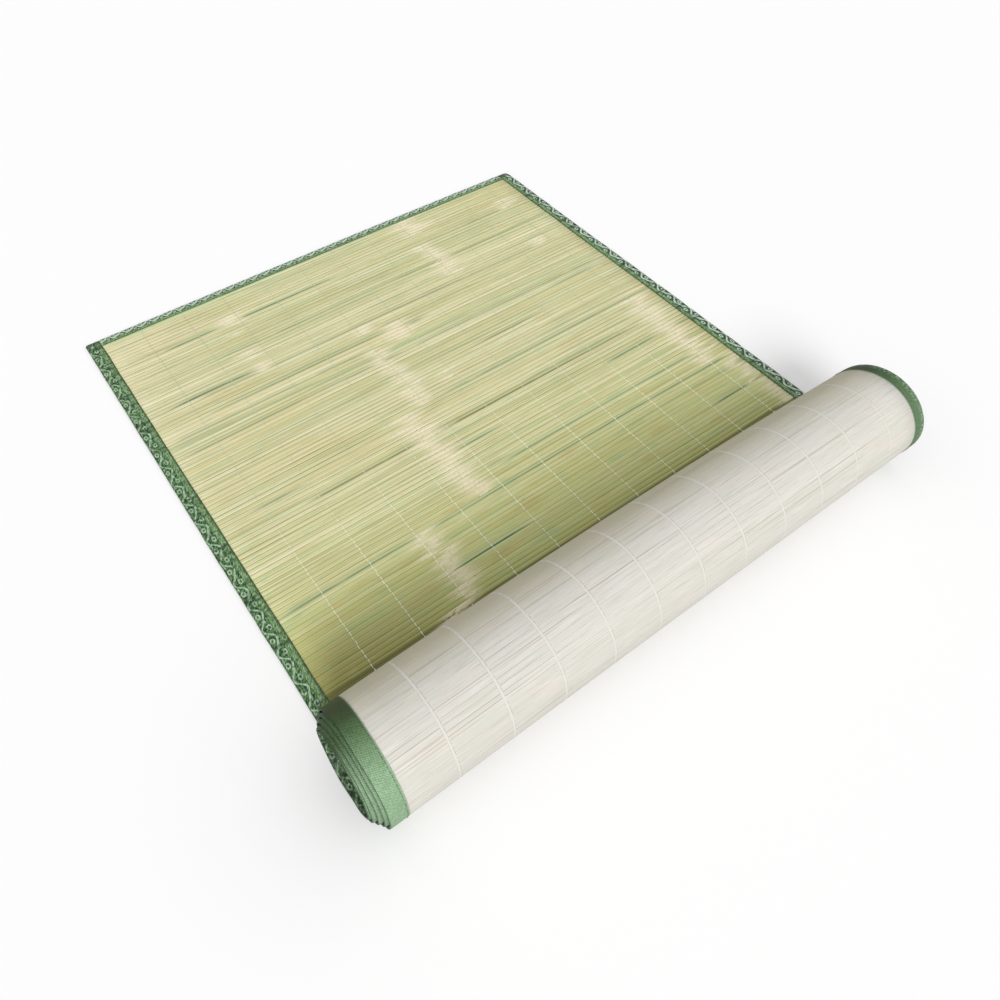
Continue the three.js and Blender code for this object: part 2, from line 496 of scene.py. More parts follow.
def with_stripes(f, skin, knot):
    start, end, depth = f.mark("stripe")
    started = f.step(f.x, start, f.sum("ADD", start, STRIPE_FADE_IN))
    ended = f.step(f.x, end, f.sum("SUBTRACT", end, STRIPE_FADE_OUT))
    broken = f.noise(f.place(f.times(f.own_x, 16.0), 7.0), detail=2)
    inside = f.times(f.times(started, ended), f.step(broken, 0.26, 0.46))
    waver = f.line(f.fine_fibre, 0.5, -0.25)
    line = f.step(f.sum("ADD", f.apart(f.share, STRIPE_PLACE), waver), 0.20, 0.05)
    striped = f.times(inside, f.times(depth, f.sum("SUBTRACT", 1.0, knot)))
    brown = f.step(f.seed, 0.7, 0.9)
    halo = f.mix(brown, (156, 184, 146), (176, 180, 122))
    dark = f.mix(brown, (70, 106, 74), (88, 92, 50))
    return f.layers(skin, [(striped, 0.35, halo), (striped, line, dark)])


# %% [markdown]
# The back of a slat is the pale wood from inside the culm, streaked with short fibres. It shows on
# the outside of the roll, painted warmer and darker from the roll's top to its back: painted shade
# with a painted reflection of the green mat. The side of the slat decides between skin and wood, and
# the fibres stand up a little on both.

# %% Wood and the whole slat
def slat_wood(f):
    cloud = f.streaks(f.x, 26.0, 60.0, 2.0)
    short_fibre = f.streaks(f.own_x, 36.0, 950.0)
    wood_top_shade = f.times(f.step(f.turned, 0.5, 0.62), f.step(f.turned, 0.95, 0.75))
    wood = f.mix(f.tone, (211, 208, 201), (206, 203, 194))
    return f.layers(wood, [
        (f.step(cloud, 0.52, 0.7), 0.5, (217, 208, 198)),
        (f.step(cloud, 0.46, 0.3), 0.5, (203, 206, 190)),
        (f.step(short_fibre, 0.55, 0.7), 0.5, (184, 177, 160)),
        (f.step(short_fibre, 0.45, 0.3), 0.4, (228, 226, 220)),
        (f.step(f.fine_fibre, 0.54, 0.7), 0.5, (186, 181, 166)),
        (f.step(f.long_fibre, 0.59, 0.69), 0.7, (168, 158, 138)),
        (f.step(f.fine_fibre, 0.46, 0.3), 0.4, (230, 228, 221)),
        # painted shade and painted reflection of the mat, from the roll's top to its back
        (wood_top_shade, 0.5, (190, 182, 146)),
    ])


def bamboo_finish():
    f = SlatFinish("bamboo")
    skin, knot = with_knots(f, slat_skin(f))
    skin = with_stripes(f, skin, knot)
    tint = f.mix(f.step(f.side, -0.9, -0.3), slat_wood(f), skin)
    roughness = f.line(f.side, -0.14, 0.6)
    f.surface({"Base Color": tint, "Roughness": roughness, "Specular IOR Level": 0.35})
    relief = f.sum("ADD", f.long_fibre, f.times(f.fine_fibre, 0.6))
    f.bump(f.times(relief, f.step(f.side, -2.0, 0.0)), 0.1 * MM, 0.6)
    return f.material


bamboo = bamboo_finish()
print("the bamboo finish has", len(bamboo.node_tree.nodes), "nodes")

# %% [markdown]
# ## The slats
#
# Each slat is a thin split strip: a rounded skin side, a nearly flat wood side, a soft edge between.
# Real slats vary in width, so their widths are drawn at random and then scaled to fill the mat. Most
# touch their neighbour, and one in five leaves a small gap.

# %% Slat layout
SLAT_PITCH = 4.85 * MM
PANEL_INSET = 0.6 * MM
SLAT_END_INSET = 1.5 * MM
SLAT_WIDTHS = (0.89, 1.11)
TOUCHING = 0.8
GAPS_IN_MM = (0.05, 0.25)

slat_count = round((LENGTH - 2 * PANEL_INSET) / SLAT_PITCH)
slat_room = rng.uniform(*SLAT_WIDTHS, slat_count)
slat_room *= (LENGTH - 2 * PANEL_INSET) / slat_room.sum()
slat_along = PANEL_INSET + np.cumsum(slat_room) - slat_room / 2
touching = rng.uniform(size=slat_count) < TOUCHING
slat_gap = np.where(touching, 0.0, rng.uniform(*GAPS_IN_MM, slat_count)) * MM
print(slat_count, "slats,", round(slat_room.min() / MM, 1), "to", round(slat_room.max() / MM, 1), "mm each")

# %% [markdown]
# Knots come in runs of slats from one culm. The runs and the stripes of the flat part are listed,
# so that they lie where they do on this mat, and those inside the roll are drawn at random.
# All are in mm, along the mat from its far end and across from its left.

# %% Knots and stripes
CULM_RUNS = [
    # where the run ends, its two knots, how wide they are, and the share of slats with only one
    (8, (900, 1200), 12, 0.0), (46, (419, 900), 22, 1.0),
    (66, (150, 552), 16, 0.1), (134, (413, 146), 17, 0.8),
    (146, (147, 540), 11, 0.0), (164, (264, 900), 14, 1.0),
    (187, (302, 900), 20, 1.0), (285, (262, 302), 13, 0.75),
    (413, (235, 554), 19, 0.0), (502, (165, 580), 16, 0.0),
]
STRIPES = [
    # where the slat lies, where its stripe starts and ends, and how dark it is
    (49, 20, 150, 0.4), (54, 60, 300, 0.85), (59, 470, 590, 0.45),
    (100, 100, 590, 0.4), (142, 30, 150, 1.0), (147, 60, 560, 0.5),
    (168, 60, 300, 0.6), (175, 300, 350, 1.0), (183, 10, 270, 0.45),
    (206, 10, 590, 0.55), (218, 480, 590, 0.4), (284, 280, 600, 0.5),
    (322, 90, 540, 0.85), (349, 445, 600, 0.9), (354, 240, 320, 0.8),
    (386, 250, 300, 0.6), (392, 270, 590, 0.6), (416, 10, 595, 0.75),
    (458, 5, 160, 0.5), (466, 145, 270, 1.0), (461, 500, 600, 1.0),
]

RUN_LENGTHS = (60, 150)
FIRST_KNOT = (20, 320)
KNOT_SPACING = (270, 330)
KNOT_WIDTH = 15
PAST_THE_EDGE = 2000

knots = np.empty((slat_count, 3))
runs = list(CULM_RUNS)
while runs[-1][0] < LENGTH / MM:
    first_knot = rng.uniform(*FIRST_KNOT)
    pair = (first_knot, first_knot + rng.uniform(*KNOT_SPACING))
    runs.append((runs[-1][0] + rng.uniform(*RUN_LENGTHS), pair, KNOT_WIDTH, 0.0))
for i, along in enumerate(slat_along / MM):
    _, pair, width, single = next(run for run in runs if along <= run[0] or run is runs[-1])
    first, second = np.array(pair) + rng.normal(0, 4.5, 2)
    second = PAST_THE_EDGE if rng.uniform() < single else second
    knots[i] = (first, second, width * rng.uniform(0.55, 1.35))
knots *= MM

start = rng.uniform(0, 500, slat_count)
end = start + rng.uniform(60, 320, slat_count)
stripes = np.stack([start, end, rng.uniform(0, 1, slat_count) ** 5 * 0.6], -1)
for place, *stripe in STRIPES:
    nearest = np.abs(slat_along / MM - place).argmin()
    stripes[nearest] = stripe
stripes[:, :2] *= MM
print(len(runs), "culm runs")

# %% [markdown]
# The section of a slat is a table, carried along it. Round the roll a slat stays straight in
# section, so it is placed on the tangent of the spiral. The weave drifts in a few long waves that
# neighbours share, and each slat strays by a hair of its own. Near the roll its edges are less
# rounded, so the hollows between slats are shallower.

# %% Slat meshes
SLAT_STATIONS = 20
SLAT_SECTION = np.array([
    # across the slat, height, side: 1 is skin and -1 is wood
    (-0.5, 0.22, 0.3), (-0.44, 0.46, 1.0), (-0.18, 0.58, 1.0), (0.18, 0.59, 1.0),
    (0.44, 0.47, 1.0), (0.5, 0.22, 0.3), (0.524, -0.58, -0.9), (0.48, -0.6, -1.0),
    (0.0, -0.605, -1.0), (-0.48, -0.6, -1.0), (-0.524, -0.58, -0.9),
])
WAVES = [
    # drift in mm, scale of the wave across and along the mat in metres, and where it starts
    (0.4, 0.093, 0.061, 0.0),
    (0.3, 0.047, -0.038, 1.0),
    (0.2, 0.029, 0.023, 2.0),
]
END_FADE = 50 * MM


def slow_wander(across, along):
    """How far the weave drifts along the mat at a place, fading out at both ends."""
    drift = sum(size * np.sin(across / wide + along / long + start) for size, wide, long, start in WAVES)
    return drift * MM * np.clip(along / END_FADE, 0, 1) * np.clip((LENGTH - along) / END_FADE, 0, 1)


def unit(vectors):
    """The same directions, each one metre long."""
    return vectors / np.linalg.norm(vectors, axis=-1, keepdims=True)


# How much one slat differs from another: its stray, lift, tilt and rounding are in mm
STRAY = 0.035
TRIM = (0.992, 1.0)
LIFT = (-0.03, 0.0)
TILT = (-0.04, 0.04)
ROUNDING = (0.0, 0.6)
THICKNESS_SHARE = (0.92, 0.98)
FLATTER_FROM, FLATTER_OVER = 0.36, 0.12


def slat_rings():
    """The rings of all the slats, with where each point lies on the mat and on its own slat."""
    every_slat, every_station = (slat_count, 1, 1), (slat_count, SLAT_STATIONS, 1)
    across = np.linspace(SLAT_END_INSET, WIDTH - SLAT_END_INSET, SLAT_STATIONS)[None, :, None]
    centre = slat_along[:, None, None]
    stray = rng.normal(0, STRAY, every_station) * MM
    centre = centre + slow_wander(across, centre) + stray
    width = (slat_room - slat_gap)[:, None, None] * rng.uniform(*TRIM, every_station)
    u, height, side = SLAT_SECTION.T
    lift = rng.uniform(*LIFT, every_slat) * MM
    tilt = rng.uniform(*TILT, every_slat)
    near = np.clip((slat_along - FLATTER_FROM) / FLATTER_OVER, 0, 1)[:, None, None]
    rounding = rng.uniform(*ROUNDING, every_slat) * (1 - 0.5 * near) - 0.18 * near
    rounding = rounding * (np.abs(u) > 0.49) * (height > 0)
    thick = rng.uniform(*THICKNESS_SHARE, every_slat)
    height = (height - rounding) * MM * thick + lift + tilt * u * MM
    middle = on_mat(across, centre, 0.0)
    reach = 0.5 * MM
    forward = unit(on_mat(across, centre + reach, 0.0) - on_mat(across, centre - reach, 0.0))
    up = unit(on_mat(across, centre, MM) - middle)
    offset = width * u
    rings = middle + offset[..., None] * forward + height[..., None] * up
    lie = together(across, centre + offset, side)
    return rings, lie, together(u, wound_turns(centre) % 1, 0.0)


rings, lie, share = slat_rings()
slat_tone = rng.uniform(0, 1, (slat_count, 3))
slats = make_piece("slats", rings, bamboo, {
    "lie": lie,
    "share": share,
    "tone": slat_tone[:, None, None],
    "knots": knots[:, None, None],
    "stripe": stripes[:, None, None],
})
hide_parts("bamboo_panel")

# %% [markdown]
# ## The binding cloth
#
# The binding is a ribbon of figured satin: a silvery vine on a dark green ground, with a plain
# stripe beside it. Its back is plain and shows the weave. The threads run on a slant, so their
# strokes do too. The finish counts in mm, across the ribbon from the fold and along it.

# %% Threads of the cloth
class ClothFinish(Finish):
    """A finish that knows the marks of the binding, and the strokes of its threads."""

    def __init__(self, name):
        super().__init__(name)
        edge, self.along, self.side = self.mark("lie")
        self.turned, self.dent, self.strip = self.mark("fold")
        self.u = self.times(edge, 1 / MM)
        self.s = self.times(self.along, 1 / MM)
        slant = self.sum("ADD", self.times(self.u, 0.8), self.times(self.s, 0.35))
        cross = self.sum("SUBTRACT", self.times(self.s, 0.9), self.times(self.u, 0.5))
        broad = self.place(slant, self.times(cross, 0.4))
        fine = self.place(self.times(slant, 1.5), self.times(cross, 0.36))
        self.mottle = self.noise(broad, scale=0.55, detail=3, roughness=0.6)
        self.cloudy = self.noise(self.place(self.u, self.s), scale=0.13, detail=3)
        self.thready = self.noise(fine, detail=2)
        self.on_right = self.step(self.strip, 0.1, 0.3)


# %% [markdown]
# The figure repeats, so it is drawn by formula: a sine for the vine, a hollow rounded square for the
# flower in each bend, and a small leaf where the vine crosses its middle line. It repeats every
# 26.9 mm along the sides and 1.7 times as often at the ends, where it is more ragged.

# %% Vine
VINE_REPEAT = 26.9
VINE_START = 0.17
VINE_MIDDLE, VINE_SWING, VINE_RIPPLE = 4.8, 3.5, 0.9
FIGURED_FROM, FIGURED_TO = (0.2, 0.7), (10.2, 9.7)
# Where flowers and leaves stand: mm from the fold, and part of a repeat
FLOWERS = ((3.4, 0.25), (7.3, 0.76))
LEAVES = ((6.3, 0.52), (1.9, 0.02))
FLOWER_RADIUS, FLOWER_SQUARENESS = 2.1, 2.4


def beside_motif(f, turn, motif, wide, long):
    """How far a place lies from the middle of a flower or leaf, across and along the ribbon."""
    across = f.sum("DIVIDE", f.apart(f.u, motif[0]), wide)
    wrapped = f.sum("FRACT", f.sum("ADD", turn, 1.5 - motif[1]))
    return across, f.times(f.apart(wrapped, 0.5), VINE_REPEAT / long)


def vine_figure(f):
    """1 on the vine, its flowers and its leaves, and 0 on the ground."""
    ragged = f.noise(f.place(f.u, f.s), scale=1.3, detail=2)
    closer = f.line(f.step(f.strip, 0.6, 0.9), 0.7, 1.0)
    repeats = f.times(f.sum("DIVIDE", f.s, VINE_REPEAT), closer)
    turn = f.sum("FRACT", f.sum("ADD", repeats, VINE_START))
    angle = f.times(turn, 2 * math.pi)
    vine_line = f.line(f.sum("SINE", angle), VINE_SWING, VINE_MIDDLE)
    second = f.sum("SINE", f.line(angle, 2.0, 0.5))
    vine_line = f.line(second, VINE_RIPPLE, vine_line)
    steepness = f.sum("SQRT", f.line(f.sum("POWER", f.sum("COSINE", angle), 2.0), 0.6, 1.0))
    from_vine = f.sum("DIVIDE", f.apart(f.u, vine_line), steepness)
    unevenness = f.line(f.strip, 3.5, 1.4)
    from_vine = f.sum("ADD", from_vine, f.times(f.sum("SUBTRACT", ragged, 0.5), unevenness))
    figure = f.step(f.sum("SUBTRACT", from_vine, f.times(f.strip, 0.8)), 1.15, 0.7)
    for flower in FLOWERS:
        across, beside = beside_motif(f, turn, flower, 0.72, 1.0)
        powers = [f.sum("POWER", distance, FLOWER_SQUARENESS) for distance in (across, beside)]
        reach = f.sum("POWER", f.sum("ADD", *powers), 1 / FLOWER_SQUARENESS)
        reach = f.sum("ADD", reach, f.line(ragged, 1.2, -0.6))
        figure = f.sum("MAXIMUM", figure, f.step(f.apart(reach, FLOWER_RADIUS), 1.05, 0.55))
    for leaf in LEAVES:
        reach = f.sum("ADD", *beside_motif(f, turn, leaf, 0.8, 2.2))
        reach = f.sum("ADD", reach, f.line(ragged, 1.4, -0.7))
        figure = f.sum("MAXIMUM", figure, f.times(f.step(reach, 1.6, 0.9), 0.7))
    return f.times(f.times(figure, f.step(f.u, *FIGURED_FROM)), f.step(f.u, *FIGURED_TO))


# %% [markdown]
# The face is a dark figured ground and a lighter plain stripe, with the strokes of their threads and
# painted shade along the seam side, then the silver figure, and last painted shade in the creases and
# at the far corners. The cloth on the right edge is painted darker as shade, and so is the cloth
# inside the roll.

# %% Face of the cloth
PLAIN_STRIPE = (9.6, 10.4)
SEAM_SIDE_SHADE = (14.0, 15.2)


def cloth_face(f, figure):
    light_threads = f.step(f.thready, 0.52, 0.64)
    dark_threads = f.step(f.thready, 0.46, 0.34)
    stripe = f.mix(f.step(f.mottle, 0.4, 0.6), (78, 114, 66), (130, 164, 114))
    stripe = f.layers(stripe, [
        (light_threads, 0.75, (176, 202, 158)),
        (dark_threads, 0.8, (52, 86, 42)),
    ])
    silver = f.mix(f.step(f.thready, 0.35, 0.65), (134, 172, 134), (198, 220, 190))
    silver = f.layers(silver, [(f.on_right, 0.55, (224, 240, 228))])
    ground = f.mix(f.step(f.mottle, 0.43, 0.58), (16, 54, 20), (84, 126, 72))
    return f.layers(ground, [
        (light_threads, 0.75, (140, 176, 132)),
        (dark_threads, 0.8, (12, 42, 16)),
        (f.step(f.cloudy, 0.56, 0.7), 0.5, (122, 140, 84)),
        # painted shade on the ground of the right edge
        (f.on_right, 0.45, (14, 28, 20)),
        (f.step(f.u, *PLAIN_STRIPE), 1.0, stripe),
        (f.step(f.cloudy, 0.46, 0.3), 0.5, (26, 58, 34)),
        # painted shade along the seam side, where the cloth meets the slats
        (f.step(f.u, *SEAM_SIDE_SHADE), 0.7, (40, 62, 32)),
        (figure, 0.88, silver),
        # painted shade in the creases, at the far corners, and inside the roll
        (f.step(f.dent, 0.03, 0.2), 0.6, (20, 38, 26)),
        (f.step(f.s, 8.0, 3.0), 0.7, (38, 44, 34)),
        (f.step(f.along, 0.6, 0.8), 0.35, (22, 32, 20)),
    ])


# %% [markdown]
# The back is a plain weave: two sines, one across the other, make its dots. Round the roll a painted
# sheen makes it paler in front, and painted shade makes it darker from the top to the back. On the
# right edge it is painted darker as shade, with some painted glints near the fold, and along the fold
# it is painted dark with the shade between the turns.

# %% Back of the cloth
WEAVE_PITCH = 1.45


def cloth_back(f):
    """The colour of the back, and the height of its weave."""
    warp = f.sum("SINE", f.times(f.s, 2 * math.pi / WEAVE_PITCH))
    weft = f.sum("SINE", f.times(f.u, 2 * math.pi / WEAVE_PITCH))
    weave = f.line(f.times(warp, weft), 0.5, 0.5)
    front_sheen = f.times(f.step(f.turned, 0.06, 0.2), f.step(f.turned, 0.56, 0.37))
    front_sheen = f.times(front_sheen, f.line(f.strip, -2.0, 1.0))
    cloth_top_shade = f.times(f.step(f.turned, 0.49, 0.6), f.step(f.turned, 0.95, 0.75))
    cloth_top_shade = f.times(cloth_top_shade, f.step(f.along, 0.9, 0.87))
    glint = f.noise(f.place(f.u, f.times(f.s, 0.5)), scale=0.9, detail=2)
    glint = f.times(f.step(glint, 0.52, 0.64), f.times(f.step(f.u, 9.0, 3.0), f.on_right))
    glint = f.times(glint, f.step(f.turned, 0.72, 0.55))
    fold_shade_strength = f.line(f.on_right, -0.4, 0.65)
    threads = f.step(f.thready, 0.35, 0.65)
    back = f.mix(threads, (44, 70, 32), (74, 104, 56))
    sheen_colour = f.mix(threads, (108, 144, 104), (142, 174, 138))
    dots = f.mix(front_sheen, (128, 170, 112), (212, 242, 208))
    return f.layers(back, [
        # painted sheen round the front of the roll, where the weave's dots shine too
        (front_sheen, 1.0, sheen_colour),
        (f.step(weave, 0.58, 0.95), 0.75, dots),
        (f.step(f.cloudy, 0.46, 0.66), 0.25, (104, 140, 94)),
        # painted shade from the roll's top to its back
        (cloth_top_shade, 0.7, (40, 50, 18)),
        # painted shade on the right edge, then painted glints near its fold
        (f.on_right, 0.22, (20, 46, 20)),
        (glint, 0.75, (186, 218, 186)),
        # the pale cut edge beside the seam, and painted shade along the fold
        (f.step(f.u, 14.9, 15.8), 0.6, (184, 194, 178)),
        (f.step(f.u, 1.1, 0.3), fold_shade_strength, (18, 34, 16)),
    ]), weave


# %% [markdown]
# The figure is worn away here and there. It stands up a little on the face, as the weave does on
# the back.

# %% Binding finish
def binding_finish():
    f = ClothFinish("binding")
    figure = f.times(vine_figure(f), f.step(f.side, 0.2, 0.6))
    worn = f.sum("ADD", f.sum("ADD", f.cloudy, f.mottle), f.times(f.strip, 0.2))
    figure = f.times(figure, f.step(worn, 0.68, 1.02))
    back, weave = cloth_back(f)
    is_face = f.step(f.side, -0.3, 0.3)
    tint = f.mix(is_face, back, cloth_face(f, figure))
    f.surface({"Base Color": tint, "Roughness": 0.5, "IOR": 1.42})
    weave = f.times(weave, f.sum("SUBTRACT", 1.0, is_face))
    raised = f.sum("ADD", f.times(figure, 0.9), f.times(f.mottle, 0.8))
    f.bump(f.sum("ADD", weave, raised), 0.3 * MM, 0.9)
    return f.material


binding_cloth = binding_finish()
print("the binding finish has", len(binding_cloth.node_tree.nodes), "nodes")

# %% [markdown]
# ## The four bindings
#
# A strip of cloth is folded round the edge of the panel, so its section is a narrow U. The table
# holds its upper half, which is mirrored: outside first, then back along the inside. Where the
# cloth crosses the slats it rises a little over each one and sinks into the gaps.

# %% Binding section and ripple
OUTSIDE = np.array([
    # share of the width from the fold, height in mm, side: 1 is the face of the mat
    (1.0, 0.8, 1.0), (0.97, 0.88, 1.0), (0.82, 0.91, 1.0),
    (0.6, 0.92, 1.0), (0.4, 0.93, 1.0), (0.2, 0.93, 1.0),
    (0.08, 0.88, 1.0), (0.025, 0.68, 1.0), (0.0, 0.3, 0.6),
])
INSIDE = np.array([
    (0.05, 0.56, 1.0), (0.2, 0.7, 1.0), (0.6, 0.7, 1.0), (1.0, 0.66, 1.0),
])
INSIDE_FOLD = (0.028, 0.0, 0.0)
BELOW = (1.0, -1.0, -1.0)
SECTION = np.concatenate([
    OUTSIDE, OUTSIDE[::-1] * BELOW, INSIDE[::-1] * BELOW, [INSIDE_FOLD], INSIDE,
])
PATTERN_WIDTH = 16 * MM


def slat_ripple(along):
    """1 over the middle of each slat and -1 over each gap."""
    ends = np.concatenate([[0], slat_along, [LENGTH]])
    count = np.concatenate([[-0.5], np.arange(slat_count), [slat_count - 0.5]])
    return np.cos(2 * math.pi * np.interp(along, ends, count))


def soft_random(places, spacing, size):
    """Soft random bumps along a line, one every so often."""
    grid = np.arange(places.min() - spacing, places.max() + 2 * spacing, spacing)
    return np.interp(places, grid, rng.normal(0, size, len(grid)))


def cloth_piece(name, rings, share, lengthwise, side, fold):
    """The mesh of one binding, with its flat strip as it was cut."""
    lie = together(PATTERN_WIDTH * share, lengthwise, side)
    piece = make_piece(name, rings[None], binding_cloth, {"lie": lie[None], "fold": fold})
    return piece


# %% [markdown]
# A side binding runs from corner to corner, and its far corner is rounded. The fold and the seam
# waver, and the cloth is dented where it was gathered under the needle. The left one shows the
# figure at its clearest.

# %% Side bindings
LEFT_STRIP, RIGHT_STRIP, END_STRIP = 0.0, 0.35, 1.0
CORNER_ROOM, CORNER_STATIONS = 10 * MM, 16
STATION_STEP = 1.6 * MM
CREASE_FIRST, CREASE_SPACING = 6 * MM, 9 * MM
DEEPEST_DENT = 0.16
RIPPLE_HEIGHT = 0.08
END_PINCH = 0.35


def creases(along):
    """Small dents across the cloth, in mm."""
    depth = np.zeros_like(along)
    for place in np.arange(CREASE_FIRST, LENGTH, CREASE_SPACING):
        centre = place + rng.uniform(-4, 4) * MM
        half = rng.uniform(0.9, 2.2) * MM
        depth += rng.uniform(0.0, 0.26) * np.exp(-(((along - centre) / half) ** 2))
    return depth


def side_binding(name, edge, outward, width, corner, strip):
    """One side binding, with the far corner of the mat rounded by the radius given."""
    near_corner = np.linspace(0, CORNER_ROOM, CORNER_STATIONS)[:-1]
    rest = np.arange(CORNER_ROOM, LENGTH - 1 * MM, STATION_STEP)
    along = np.concatenate([near_corner, rest, [LENGTH]])
    share, height, side = SECTION.T
    ripple = slat_ripple(along)[:, None]
    lumps = soft_random(along, 9 * MM, 0.04)[:, None]
    dents = creases(along)[:, None]
    outwards = np.maximum(RIPPLE_HEIGHT * ripple * share + lumps - dents, -DEEPEST_DENT)
    rise = outwards * np.sign(height) * (np.abs(height) > 0.5)
    wavy = soft_random(along, 14 * MM, 0.16 * MM)[:, None]
    seam_wavy = soft_random(along, 30 * MM, 0.2 * MM)[:, None]
    before = np.clip(corner - along, 0, corner)[:, None]
    rounding = corner - np.sqrt(np.maximum(corner**2 - before**2, 0))
    u = width * share + (wavy + rounding) * (1 - share) + seam_wavy * share
    from_end = np.minimum(along, LENGTH - along)
    pinch = np.interp(from_end, [0, 0.5 * MM], [END_PINCH, 1])[:, None]
    across = edge - outward * u
    along = along[:, None]
    rings = on_mat(across, along, (height + rise) * pinch * MM)
    fold = together(wound_turns(along) % 1, dents, strip)
    return cloth_piece(name, rings, share, along, side, fold)


left_binding = side_binding("left_edge_cloth", 0.0, -1, BINDING_WIDTH["left"], 3 * MM, LEFT_STRIP)
right_binding = side_binding("right_edge_cloth", WIDTH, 1, BINDING_WIDTH["right"], 8 * MM, RIGHT_STRIP)
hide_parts("left_binding")
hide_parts("right_binding")

# %% [markdown]
# The end bindings are narrower strips of the same ribbon, and they lie between the side bindings. The
# one inside the roll hardly shows, and it is made like the one at the far end.

# %% End bindings
END_MARGIN = 0.3 * MM
END_STATIONS = 240


def end_binding(name, end, inward):
    start = BINDING_WIDTH["left"] + END_MARGIN
    stop = WIDTH - BINDING_WIDTH["right"] - END_MARGIN
    across = np.linspace(start, stop, END_STATIONS)
    share, height, side = SECTION.T
    width = BINDING_WIDTH["end"]
    wavy = soft_random(across, 14 * MM, 0.1 * MM)[:, None]
    u = width * share + wavy
    along = np.clip(end + inward * u, 0, LENGTH)
    rings = on_mat(across[:, None], along, height * MM)
    return cloth_piece(name, rings, share, across[:, None], side, (0.0, 0.0, END_STRIP))


far_binding = end_binding("far_end_cloth", 0.0, 1)
rolled_binding = end_binding("rolled_end_cloth", LENGTH, -1)
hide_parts("far_end_binding")
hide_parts("rolled_end_binding")

# %% [markdown]
# ## The threads
#
# Eleven rows of cotton thread hold the slats. On the face each row shows as one short stitch over
# each slat, and on the back it is a soft flat band, a little fuzzy. The side of the mat decides
# which of the two finishes shows.

# %% String finish
def string_finish():
    f = Finish("string")
    beside, along, side = f.mark("lie")
    offset = f.times(beside, 1 / MM)
    s = f.times(along, 1 / MM)
    fuzz = f.noise(f.place(f.times(offset, 2.2), f.times(s, 0.5)), detail=3)
    # near the roll the stitches are painted brighter, as painted light against the shade there
    near_roll = f.step(along, 0.26, 0.46)
    stitch = f.mix(near_roll, (206, 209, 178), (246, 248, 228))
    stitch = f.mix(f.times(f.step(fuzz, 0.45, 0.7), 0.4), stitch, (190, 194, 160))
    middle = f.step(f.sum("ADD", f.sum("ABSOLUTE", offset), f.times(fuzz, 0.9)), 1.7, 0.6)
    band = f.mix(middle, (208, 205, 194), (216, 214, 207))
    tint = f.mix(f.step(side, -0.5, 0.5), band, stitch)
    f.surface({"Base Color": tint, "Roughness": 0.9, "Specular IOR Level": 0.2})
    f.bump(fuzz, 0.1 * MM, 0.6)
    return f.material


string = string_finish()

# %% [markdown]
# A stitch is a low arch of four-sided tube, less than a millimetre thick. Stitches step left and
# right in turn, and their rows lie further right in the flat part than round the roll.

# %% Stitches over the slats
STRING_FIRST = 58.6 * MM
STRING_PITCH = 49.0 * MM
STRING_ROWS = 11
STRING_LEAN = 7.0 * MM
LEAN_ENDS = [0.52, 0.66]
STITCH_RADIUS = 0.45 * MM
STITCH_STEP, STITCH_STRAY = 0.22 * MM, 0.12 * MM
string_across = STRING_FIRST + STRING_PITCH * np.arange(STRING_ROWS)


def string_lean(across, along):
    """The rows of thread lie a little further right in the flat part than round the roll."""
    share = (across / WIDTH) ** 1.35
    return STRING_LEAN * np.sin(math.pi * share) * np.interp(along, LEAN_ENDS, [1, 0])


ARCH = np.array([
    # place along the slat's width, height in mm
    (-0.43, 0.25), (-0.26, 0.66), (0.0, 0.8), (0.26, 0.68), (0.43, 0.25),
])


def stitches(across, centre, room, arch, radius):
    """Square tubes that arch over places on the mat, each as long along the mat as its room."""
    share, height = arch.T
    along = np.clip(centre[:, None] + room[:, None] * share, 0.2 * MM, LENGTH - 0.2 * MM)
    across = np.broadcast_to(across[:, None], along.shape)
    places = on_mat(across, along, height * MM)
    up = unit(on_mat(across, along, (height + 0.5) * MM) - places)
    angle = 2 * math.pi * (np.arange(4) + 0.5) / 4
    around = np.cos(angle)[:, None] * [1.0, 0.0, 0.0] + np.sin(angle)[:, None] * up[..., None, :]
    return places[..., None, :] + radius * around


row, slat = (g.ravel() for g in np.meshgrid(np.arange(STRING_ROWS), np.arange(slat_count), indexing="ij"))
sway = STITCH_STEP * np.where(slat % 2, 1, -1) + rng.normal(0, STITCH_STRAY, row.size)
crossing = string_across[row] + string_lean(string_across[row], slat_along[slat]) + sway
centre = slat_along[slat] + slow_wander(crossing, slat_along[slat])
rings = stitches(crossing, centre, slat_room[slat], ARCH, STITCH_RADIUS)
lie = together(crossing, centre, 1.0)[:, None, None]
face_strings = make_piece("face_stitches", rings, string, {"lie": lie})

# %% [markdown]
# On the back each row is one flat band from end to end. Its section is a very low ridge, pressed
# against the wood, and it sways a little from side to side.

# %% Bands on the back
BAND_HALF_WIDTH = 1.3 * MM
BAND_UNIT, BAND_PLACE = 0.03, -0.635
BAND_SECTION = np.array([
    # in half widths, and in units of height towards the mat
    (-1.0, 1.4), (-0.65, -0.8), (0.65, -0.8), (1.0, 1.4), (0.6, 2.0), (-0.6, 2.0),
])


def back_bands():
    along = np.linspace(PANEL_INSET * 2, LENGTH - PANEL_INSET * 2, 2 * slat_count + 1)
    ripple = slat_ripple(along)
    beside, height = BAND_HALF_WIDTH * BAND_SECTION[:, 0], BAND_UNIT * BAND_SECTION[:, 1]
    sway = np.stack([soft_random(along, 25 * MM, 0.25 * MM) for _ in range(STRING_ROWS)])
    lean = string_lean(string_across[:, None], along[None])
    across = string_across[:, None, None] + (lean + sway)[..., None] + beside
    height = BAND_PLACE - 0.01 * ripple[None, :, None] + height
    rings = on_mat(across, along[None, :, None], height * MM)
    return rings, together(beside, along[None, :, None], -1.0)


